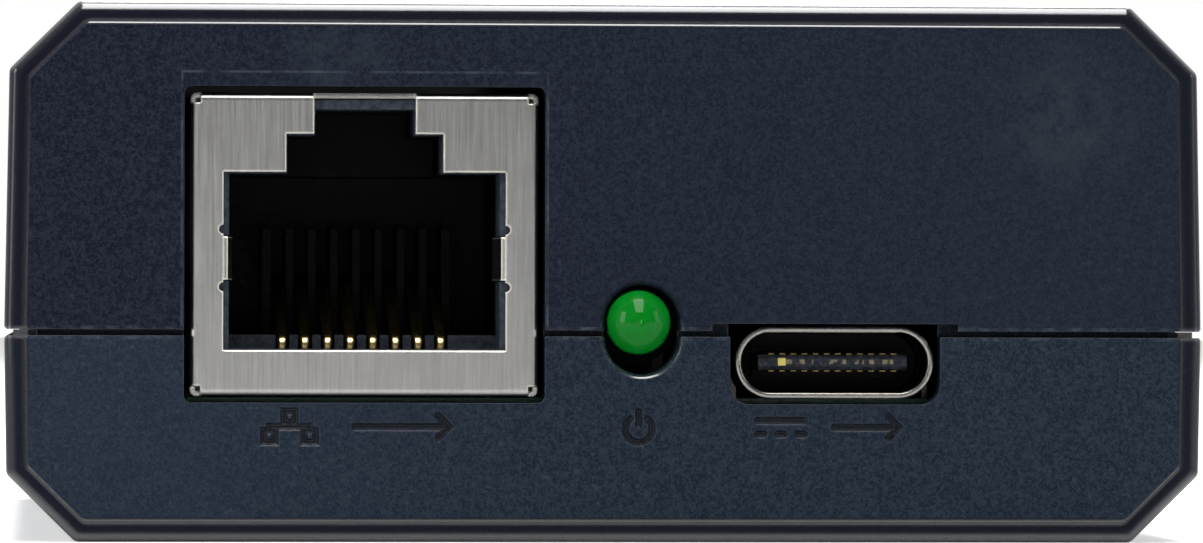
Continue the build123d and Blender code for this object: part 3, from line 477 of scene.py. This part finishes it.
# Forms of the lower half: engraved signs, and rests in the seam

def new_mesh(name, draw, *details):
    """Mesh that a function draws in a bmesh."""
    mesh = bpy.data.meshes.new(name)
    bm = bmesh.new()
    draw(bm, *details)
    bm.to_mesh(mesh)
    bm.free()
    return mesh


def combine(name, operation, meshes, overlapping=False):
    """Cut hidden meshes out of the lower half, or join them to it."""
    group = bpy.data.collections.new(name)
    scene.collection.children.link(group)
    for mesh in meshes:
        hidden = bpy.data.objects.new(mesh.name, mesh)
        group.objects.link(hidden)
        hidden.hide_render = True
        hidden.hide_viewport = True
    modifier = nodes["bottom_case"].modifiers.new(name, "BOOLEAN")
    modifier.operation = operation
    modifier.solver = "EXACT"
    modifier.operand_type = "COLLECTION"
    modifier.collection = group
    modifier.use_self = overlapping


# A groove starts just in front of the end face and narrows with depth
GROOVE_PROUD, GROOVE_DEEP = mm(0.02, 0.13)
GROOVE_WIDE, GROOVE_NARROW = mm(0.42, 0.14)
CAP_STEPS = 6


def groove_loops(points, width, closed):
    """Outlines of a stroke along points in the plane of the end face."""
    count = len(points)

    def side(i):
        back = points[i] - points[i - 1] if closed or i > 0 else points[1] - points[0]
        ahead = points[(i + 1) % count] - points[i] if closed or i < count - 1 else back
        a = Vector((-back.y, back.x)).normalized()
        b = Vector((-ahead.y, ahead.x)).normalized()
        m = (a + b).normalized()
        return m / max(0.5, m.dot(a))

    left = [points[i] + side(i) * width / 2 for i in range(count)]
    right = [points[i] - side(i) * width / 2 for i in range(count)]
    if closed:
        return [left, right]
    loop = left
    for end, start in ((count - 1, side(count - 1)), (0, -side(0))):
        first = math.atan2(start.y, start.x)
        for step in range(1, CAP_STEPS):
            turn = first - math.pi * step / CAP_STEPS
            loop.append(points[end] + Vector((math.cos(turn), math.sin(turn))) * width / 2)
        if end:
            loop.extend(reversed(right))
    return [loop]


def draw_groove(bm, points, closed):
    points = [Vector(mm(*p)) for p in points]
    rings = [
        [bm.verts.new((q.x, y, q.y)) for q in loop]
        for width, y in ((GROOVE_WIDE, FRONT - GROOVE_PROUD), (GROOVE_NARROW, FRONT + GROOVE_DEEP))
        for loop in groove_loops(points, width, closed)
    ]

    def strip(a, b):
        for i in range(len(a)):
            j = (i + 1) % len(a)
            bm.faces.new((a[i], a[j], b[j], b[i]))

    if closed:
        outer_front, inner_front, outer_back, inner_back = rings
        strip(outer_front, inner_front)
        strip(inner_front, inner_back)
        strip(inner_back, outer_back)
        strip(outer_back, outer_front)
    else:
        front, back = rings
        strip(front, back)
        bm.faces.new(front)
        bm.faces.new(list(reversed(back)))
    bmesh.ops.recalc_face_normals(bm, faces=bm.faces)


# Strokes of the signs: points (x, z) in millimetres, and whether the stroke is closed
SIGN_LOW, SIGN_HIGH = 4.46, 5.82
SIGN_MID = (SIGN_LOW + SIGN_HIGH) / 2
BOX_HALF, BOX_LINK = 0.25, 0.62
LEFT_BOX, TOP_BOX, RIGHT_BOX = -15.0, -14.1, -13.2
ARROW_HEAD = 0.5
POWER_X, POWER_RADIUS = 1.45, 0.6
POWER_START, POWER_END, POWER_STEPS = 130, 410, 22
BARS_LEFT, BARS_RIGHT, BARS_HALF_GAP = 6.75, 8.85, 0.3
DASH, DASH_PITCH = 0.3, 0.9
NETWORK_ARROW, OUTLET_ARROW = (-11.2, 4.2), (10.2, 2.9)


def box(x, z):
    h = BOX_HALF
    return [(x - h, z - h), (x - h, z + h), (x + h, z + h), (x + h, z - h)], True


def arc(x, z, radius, start, end, steps):
    """Points of an arc; angles in degrees from +X towards +Z."""
    turns = [math.radians(start + (end - start) * i / steps) for i in range(steps + 1)]
    return [(x + radius * math.cos(a), z + radius * math.sin(a)) for a in turns], False


def arrow(x, run):
    """Strokes of an arrow that points right."""
    tip = x + run
    back = tip - ARROW_HEAD
    head = [(back, SIGN_MID + ARROW_HEAD), (tip, SIGN_MID), (back, SIGN_MID - ARROW_HEAD)]
    return [([(x, SIGN_MID), (tip, SIGN_MID)], False), (head, False)]


signs = [
    # Three linked boxes and an arrow: network out
    box(TOP_BOX, SIGN_HIGH - BOX_HALF),
    box(LEFT_BOX, SIGN_LOW + BOX_HALF),
    box(RIGHT_BOX, SIGN_LOW + BOX_HALF),
    ([(LEFT_BOX, SIGN_LOW + BOX_LINK), (LEFT_BOX, SIGN_MID),
      (RIGHT_BOX, SIGN_MID), (RIGHT_BOX, SIGN_LOW + BOX_LINK)], False),
    ([(TOP_BOX, SIGN_HIGH - BOX_LINK), (TOP_BOX, SIGN_MID + 0.02)], False),
    *arrow(*NETWORK_ARROW),
    # Open ring with a bar: power
    arc(POWER_X, SIGN_MID - 0.08, POWER_RADIUS, POWER_START, POWER_END, POWER_STEPS),
    ([(POWER_X, SIGN_MID + 0.1), (POWER_X, SIGN_HIGH)], False),
    # Full line over a broken line, and an arrow: direct current out
    ([(BARS_LEFT, SIGN_MID + BARS_HALF_GAP), (BARS_RIGHT, SIGN_MID + BARS_HALF_GAP)], False),
    *(([(x, SIGN_MID - BARS_HALF_GAP), (x + DASH, SIGN_MID - BARS_HALF_GAP)], False)
      for x in (BARS_LEFT + n * DASH_PITCH for n in range(3))),
    *arrow(*OUTLET_ARROW),
]
combine("signs", "DIFFERENCE", [
    new_mesh(f"sign_{number}", draw_groove, *stroke) for number, stroke in enumerate(signs)
], overlapping=True)

# Small moulded rests that keep the seam open, one near each end of both sides
REST_PLACE = mm(25.825, 40.9, 9.21)
REST_SIZE = mm(1.05, 1.0, 0.42)


def draw_rest(bm, side, end):
    x, y, z = REST_PLACE
    place = Matrix.Translation((side * x, end * y, z)) @ Matrix.Diagonal((*REST_SIZE, 1))
    bmesh.ops.create_cube(bm, size=1.0, matrix=place)


combine("rests", "UNION", [
    new_mesh("rest", draw_rest, side, end) for side in (-1, 1) for end in (-1, 1)
])


# Floor, lights, world and camera

FLOOR_HALF, FLOOR_GAP = 3.0, 0.02 * MM


def draw_floor(bm):
    bmesh.ops.create_grid(bm, x_segments=2, y_segments=2, size=FLOOR_HALF)


def make_floor():
    """Pale floor that is lit up behind the object."""
    obj = bpy.data.objects.new("floor", new_mesh("floor", draw_floor))
    obj.location = (0, 0, cad_bounds[0][2] - FLOOR_GAP)
    scene.collection.objects.link(obj)
    s = new_material("floor_pale")
    soft = s.ramp(s.noise(s.coords(), 6, 2, 0.5), 0.3, 0.7)
    colour = s.mix(soft, (0.80, 0.80, 0.80), (0.84, 0.84, 0.84))
    diffuse = s.add("BsdfDiffuse", {"Color": colour}).outputs[0]
    glow = s.add("Emission", {"Color": (1, 1, 1, 1), "Strength": 0.55}).outputs[0]
    lit = s.add("AddShader", {0: diffuse, 1: glow}).outputs[0]
    seen = s.seen(s.map(s.place()[1], 0.0, 0.3))
    mixed = s.add("MixShader", {0: seen, 1: diffuse, 2: lit})
    obj.data.materials.append(s.finish("OutputMaterial", mixed))


LIGHT_TARGET = Vector((0, -0.03, 0.012))
# Direction from the target, distance, width, height and strength at one metre
LIGHTS = {
    "top_box": ((0.0, -0.365, 0.93), 1.0, 0.50, 1.30, 14.0),
    "left_box": ((-0.86, -0.43, 0.276), 1.0, 0.34, 0.60, 3.0),
    "right_box": ((0.891, -0.365, 0.27), 1.0, 0.34, 0.60, 1.3),
    "near_left": ((-0.14, -1.0, 0.04), 0.45, 0.06, 0.10, 0.052),
    "back_box": ((0.15, 0.75, 0.65), 1.2, 0.60, 0.40, 4.0),
}


def make_light(name, direction, distance, width, height, strength):
    """Softbox that faces the object."""
    data = bpy.data.lights.new(name, "AREA")
    data.shape = "RECTANGLE"
    data.size = width
    data.size_y = height
    data.energy = strength * distance ** 2
    towards = Vector(direction).normalized()
    obj = bpy.data.objects.new(name, data)
    obj.location = LIGHT_TARGET + towards * distance
    obj.rotation_euler = (-towards).to_track_quat("-Z", "Y").to_euler()
    scene.collection.objects.link(obj)


def make_world():
    """Dim room that is brighter on the left, with a white backdrop."""
    world = bpy.data.worlds.new("studio")
    s = Nodes(world)
    x, y, _ = s.split(s.add("TexCoord").outputs["Generated"])
    strength = s.map(x, -0.07, 0.10, 0.21, 0.11)
    room = s.add("Background", {"Color": (0.82, 0.85, 0.90, 1), "Strength": strength}).outputs[0]
    white = s.add("Background", {"Color": (1, 1, 1, 1), "Strength": 1.0}).outputs[0]
    mixed = s.add("MixShader", {0: s.seen(s.map(y, -0.3, 0.3)), 1: room, 2: white})
    scene.world = s.finish("OutputWorld", mixed)


# Camera before the left corner of the front end, a little above the seam
IMAGE_WIDTH = 1203
PIXELS_PER_METRE = 22522.8
CAMERA_DISTANCE = 0.350
CAMERA_X, CAMERA_Z = mm(-24.884, 10.091)
YAW, PITCH, ROLL = (math.radians(angle) for angle in (4.028, 0.322, 0.155))


def make_camera():
    data = bpy.data.cameras.new("camera")
    data.sensor_width = 36.0
    data.lens = PIXELS_PER_METRE * CAMERA_DISTANCE / IMAGE_WIDTH * data.sensor_width
    data.clip_start = 0.01
    data.clip_end = 50.0
    forward = Vector((
        math.sin(YAW) * math.cos(PITCH), math.cos(YAW) * math.cos(PITCH), math.sin(PITCH)
    ))
    level = Vector((math.cos(YAW), -math.sin(YAW), 0.0))
    upright = level.cross(forward)
    right = level * math.cos(ROLL) + upright * math.sin(ROLL)
    up = upright * math.cos(ROLL) - level * math.sin(ROLL)
    turn = Matrix((right, up, -forward)).transposed().to_4x4()
    place = Matrix.Translation((CAMERA_X, FRONT - CAMERA_DISTANCE, CAMERA_Z))
    camera = bpy.data.objects.new("camera", data)
    camera.matrix_world = place @ turn
    scene.collection.objects.link(camera)
    scene.camera = camera


make_floor()
for light, settings in LIGHTS.items():
    make_light(light, *settings)
make_world()
make_camera()
scene.view_settings.view_transform = "Standard"
